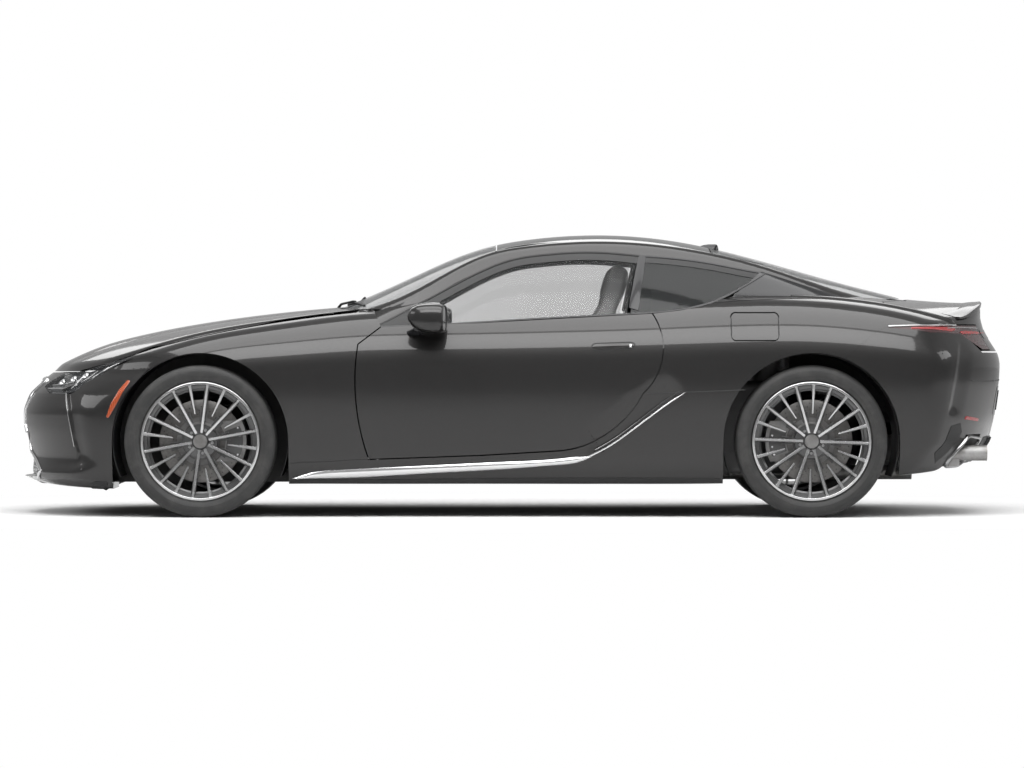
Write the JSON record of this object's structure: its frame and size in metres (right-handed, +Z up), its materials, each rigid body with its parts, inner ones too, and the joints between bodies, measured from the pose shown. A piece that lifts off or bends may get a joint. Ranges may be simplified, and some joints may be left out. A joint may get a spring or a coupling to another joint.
{
  "type": "coupe car",
  "caption": "Low two-door coupe with a long bonnet, hinged doors, bonnet, boot lid and fuel flap, steered front wheels and a working steering wheel.",
  "frame": {"origin": "on the ground under the middle of the car's length and width", "axes": "+X to the rear, +Y to the car's right, +Z up; the nose points along -X"},
  "size_m": [4.748, 2.13, 1.3451],
  "materials": {
    "body_paint": "gloss metallic grey",
    "roof_black": "gloss black",
    "window_glass": "lightly tinted",
    "lamp": "clear lens",
    "black_plastic": "satin black",
    "tyre": "matt",
    "wheel_alloy": "machined face",
    "chassis_metal": "cast",
    "cabin_leather": "matt"
  },
  "bodies": {
    "body": {"headlamps": "lamp", "wing_left": "body_paint", "wing_right": "body_paint", "front_bumper": "body_paint", "grille": "black_plastic", "tail_lamps": "lamp", "rear_bumper": "body_paint", "body_side_left": "body_paint", "body_side_right": "body_paint", "windscreen": "window_glass", "rear_window": "window_glass", "roof_panel": "roof_black", "roof_frame": "body_paint", "quarter_glass": "window_glass", "floor": "black_plastic", "front_frame": "black_plastic", "scuttle": "black_plastic", "boot_tub": "black_plastic", "seat_left": "cabin_leather", "seat_right": "cabin_leather", "rear_seat": "cabin_leather", "dashboard": "black_plastic", "front_suspension": "chassis_metal", "rear_suspension": "chassis_metal", "engine": "chassis_metal", "exhaust": "chassis_metal", "knuckle_rear_left": "chassis_metal", "knuckle_rear_right": "chassis_metal"},
    "bonnet": {"bonnet": "body_paint"},
    "boot_lid": {"boot_lid": "body_paint"},
    "fuel_flap": {"fuel_flap": "body_paint"},
    "door_left": {"door_left": "body_paint", "door_glass_left": "window_glass", "mirror_left": "body_paint"},
    "door_right": {"door_right": "body_paint", "door_glass_right": "window_glass", "mirror_right": "body_paint"},
    "knuckle_front_left": {"knuckle_front_left": "chassis_metal"},
    "knuckle_front_right": {"knuckle_front_right": "chassis_metal"},
    "steering_wheel": {"steering_wheel": "cabin_leather"},
    "wheel_front_left": {"wheel_front_left": "wheel_alloy", "tyre_front_left": "tyre"},
    "wheel_front_right": {"wheel_front_right": "wheel_alloy", "tyre_front_right": "tyre"},
    "wheel_rear_left": {"wheel_rear_left": "wheel_alloy", "tyre_rear_left": "tyre"},
    "wheel_rear_right": {"wheel_rear_right": "wheel_alloy", "tyre_rear_right": "tyre"}
  },
  "joints": [
    {"name": "bonnet_hinge", "type": "hinge", "parent": "body", "child": "bonnet", "pos_m": [-0.64, 0, 0.99], "axis": [0, 1, 0], "range_deg": [0, 50]},
    {"name": "boot_lid_hinge", "type": "hinge", "parent": "body", "child": "boot_lid", "pos_m": [1.757, 0, 1.062], "axis": [0, -1, 0], "range_deg": [0, 70]},
    {"name": "fuel_flap_hinge", "type": "hinge", "parent": "body", "child": "fuel_flap", "pos_m": [1.036, -0.9006, 0.9013], "axis": [0, -0.5281, -0.8492], "range_deg": [0, 90]},
    {"name": "door_left_hinge", "type": "hinge", "parent": "body", "child": "door_left", "pos_m": [-0.688, -0.903, 0.6], "axis": [0, 0, -1], "range_deg": [0, 65]},
    {"name": "door_right_hinge", "type": "hinge", "parent": "body", "child": "door_right", "pos_m": [-0.688, 0.903, 0.6], "axis": [0, 0, 1], "range_deg": [0, 65]},
    {"name": "steering_left", "type": "hinge", "parent": "body", "child": "knuckle_front_left", "pos_m": [-1.46, -0.773, 0.358], "axis": [0, 0, 1], "range_deg": [-34, 34]},
    {"name": "steering_right", "type": "hinge", "parent": "body", "child": "knuckle_front_right", "pos_m": [-1.46, 0.773, 0.358], "axis": [0, 0, 1], "range_deg": [-34, 34]},
    {"name": "steering_wheel_turn", "type": "hinge", "parent": "body", "child": "steering_wheel", "pos_m": [-0.285, -0.37, 0.864], "axis": [0.9272, 0, 0.3746], "range_deg": [-442, 442]},
    {"name": "roll_front_left", "type": "hinge", "parent": "knuckle_front_left", "child": "wheel_front_left", "pos_m": [-1.46, -0.803, 0.358], "axis": [0, 1, 0], "continuous": true},
    {"name": "roll_front_right", "type": "hinge", "parent": "knuckle_front_right", "child": "wheel_front_right", "pos_m": [-1.46, 0.803, 0.358], "axis": [0, 1, 0], "continuous": true},
    {"name": "roll_rear_left", "type": "hinge", "parent": "body", "child": "wheel_rear_left", "pos_m": [1.41, -0.805, 0.358], "axis": [0, 1, 0], "continuous": true},
    {"name": "roll_rear_right", "type": "hinge", "parent": "body", "child": "wheel_rear_right", "pos_m": [1.41, 0.805, 0.358], "axis": [0, 1, 0], "continuous": true}
  ],
  "couplings": [
    {"joint": "steering_right", "follows": "steering_left", "ratio": 1},
    {"joint": "steering_wheel_turn", "follows": "steering_left", "ratio": 13}
  ]
}
